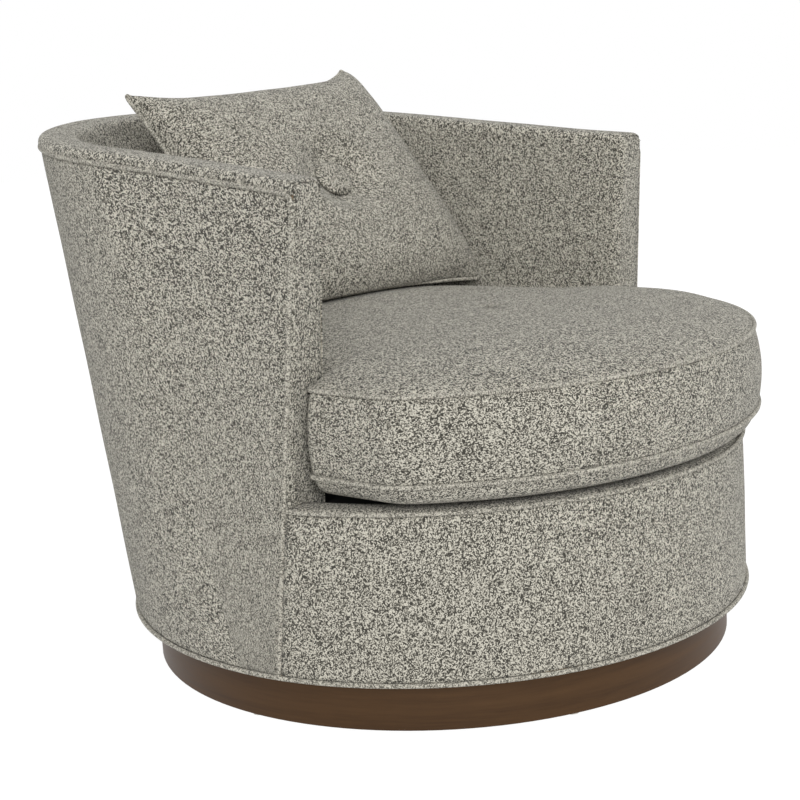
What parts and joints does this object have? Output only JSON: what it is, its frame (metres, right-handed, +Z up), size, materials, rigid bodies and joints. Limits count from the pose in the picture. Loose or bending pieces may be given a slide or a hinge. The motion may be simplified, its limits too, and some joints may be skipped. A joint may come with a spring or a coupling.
{
  "type": "swivel barrel chair",
  "caption": "Upholstered swivel barrel chair with a loose T-shaped seat cushion, a leaning buttoned pillow, welted edges and a round recessed plinth.",
  "frame": {"origin": "where the swivel axis meets the floor, at the middle of the centre glide's underside", "axes": "+Z up, -Y the front of the seat, +X the sitter's left"},
  "size_m": [0.835, 0.9741, 0.7763],
  "materials": {
    "upholstery_fabric": "chunky woven tweed, matte",
    "welt_fabric": "bias-cut tweed over cord, matte",
    "pillow_fabric": "chunky woven tweed, matte",
    "decking_cloth": "plain black cloth, matte",
    "plinth_finish": "satin dark brown lacquer on bent plywood",
    "frame_wood": "sawn hardwood",
    "board_wood": "plywood",
    "fibre_board": "hardboard",
    "steel": "zinc-plated pressing",
    "ball_steel": "polished",
    "spring_steel": "drawn wire",
    "cage_plastic": "moulded",
    "glide_nylon": "moulded nylon",
    "foam": "cut polyurethane foam",
    "felt": "needled felt",
    "pillow_filling": "fibre fill in a cotton case",
    "zip_tape": "woven tape with coil teeth",
    "zip_metal": "cast slider",
    "twine": "waxed twine"
  },
  "bodies": {
    "plinth": {"floor_glides": "glide_nylon", "plinth_hoop": "plinth_finish", "long_batten": "frame_wood", "cross_batten": "frame_wood", "plinth_blocks": "frame_wood", "plinth_board": "board_wood", "lower_plate": "steel", "lower_screws": "steel"},
    "ball_race": {"swivel_balls": "ball_steel", "ball_cage": "cage_plastic"},
    "chair": {"upper_plate": "steel", "upper_screws": "steel", "centre_rivet": "steel", "base_board": "board_wood", "dust_cover": "decking_cloth", "bottom_welt": "welt_fabric", "base_studs": "frame_wood", "front_rail": "frame_wood", "back_rail": "frame_wood", "left_side_rail": "frame_wood", "right_side_rail": "frame_wood", "corner_blocks": "frame_wood", "left_arm_post": "frame_wood", "right_arm_post": "frame_wood", "back_uprights": "frame_wood", "top_rail": "frame_wood", "outside_board": "fibre_board", "tack_strip": "fibre_board", "inside_board": "fibre_board", "front_board": "fibre_board", "sinuous_springs": "spring_steel", "spring_clips": "steel", "insulator_felt": "felt", "deck_foam": "foam", "deck_cloth": "decking_cloth", "back_foam": "foam", "left_arm_foam": "foam", "right_arm_foam": "foam", "inside_cover": "upholstery_fabric", "left_arm_front_cover": "upholstery_fabric", "right_arm_front_cover": "upholstery_fabric", "outside_cover": "upholstery_fabric", "rim_welt": "welt_fabric", "rail_welt": "welt_fabric", "front_foam": "foam", "front_cover": "upholstery_fabric"},
    "seat_cushion": {"cushion_core": "foam", "cushion_top_panel": "upholstery_fabric", "cushion_boxing": "upholstery_fabric", "cushion_bottom_panel": "upholstery_fabric", "cushion_top_welt": "welt_fabric", "cushion_bottom_welt": "welt_fabric", "cushion_zip": "zip_tape", "zip_slider": "zip_metal"},
    "pillow": {"pillow_insert": "pillow_filling", "pillow_cover": "pillow_fabric", "pillow_edge_welt": "pillow_fabric", "front_button": "pillow_fabric", "back_button": "pillow_fabric", "button_twine": "twine"}
  },
  "joints": [
    {"name": "seat_swivel", "type": "hinge", "parent": "plinth", "child": "chair", "pos_m": [0, 0, 0.0605], "axis": [0, 0, 1], "continuous": true},
    {"name": "cage_spin", "type": "hinge", "parent": "plinth", "child": "ball_race", "pos_m": [0, 0, 0.0605], "axis": [0, 0, 1], "continuous": true},
    {"name": "cushion_lift", "type": "slide", "parent": "chair", "child": "seat_cushion", "axis": [0, -0.3419, 0.9397], "range_m": [0, 0.45]},
    {"name": "pillow_lift", "type": "slide", "parent": "seat_cushion", "child": "pillow", "axis": [0, 0, 1], "range_m": [0, 0.4]}
  ],
  "couplings": [
    {"joint": "cage_spin", "follows": "seat_swivel", "ratio": 0.5}
  ]
}
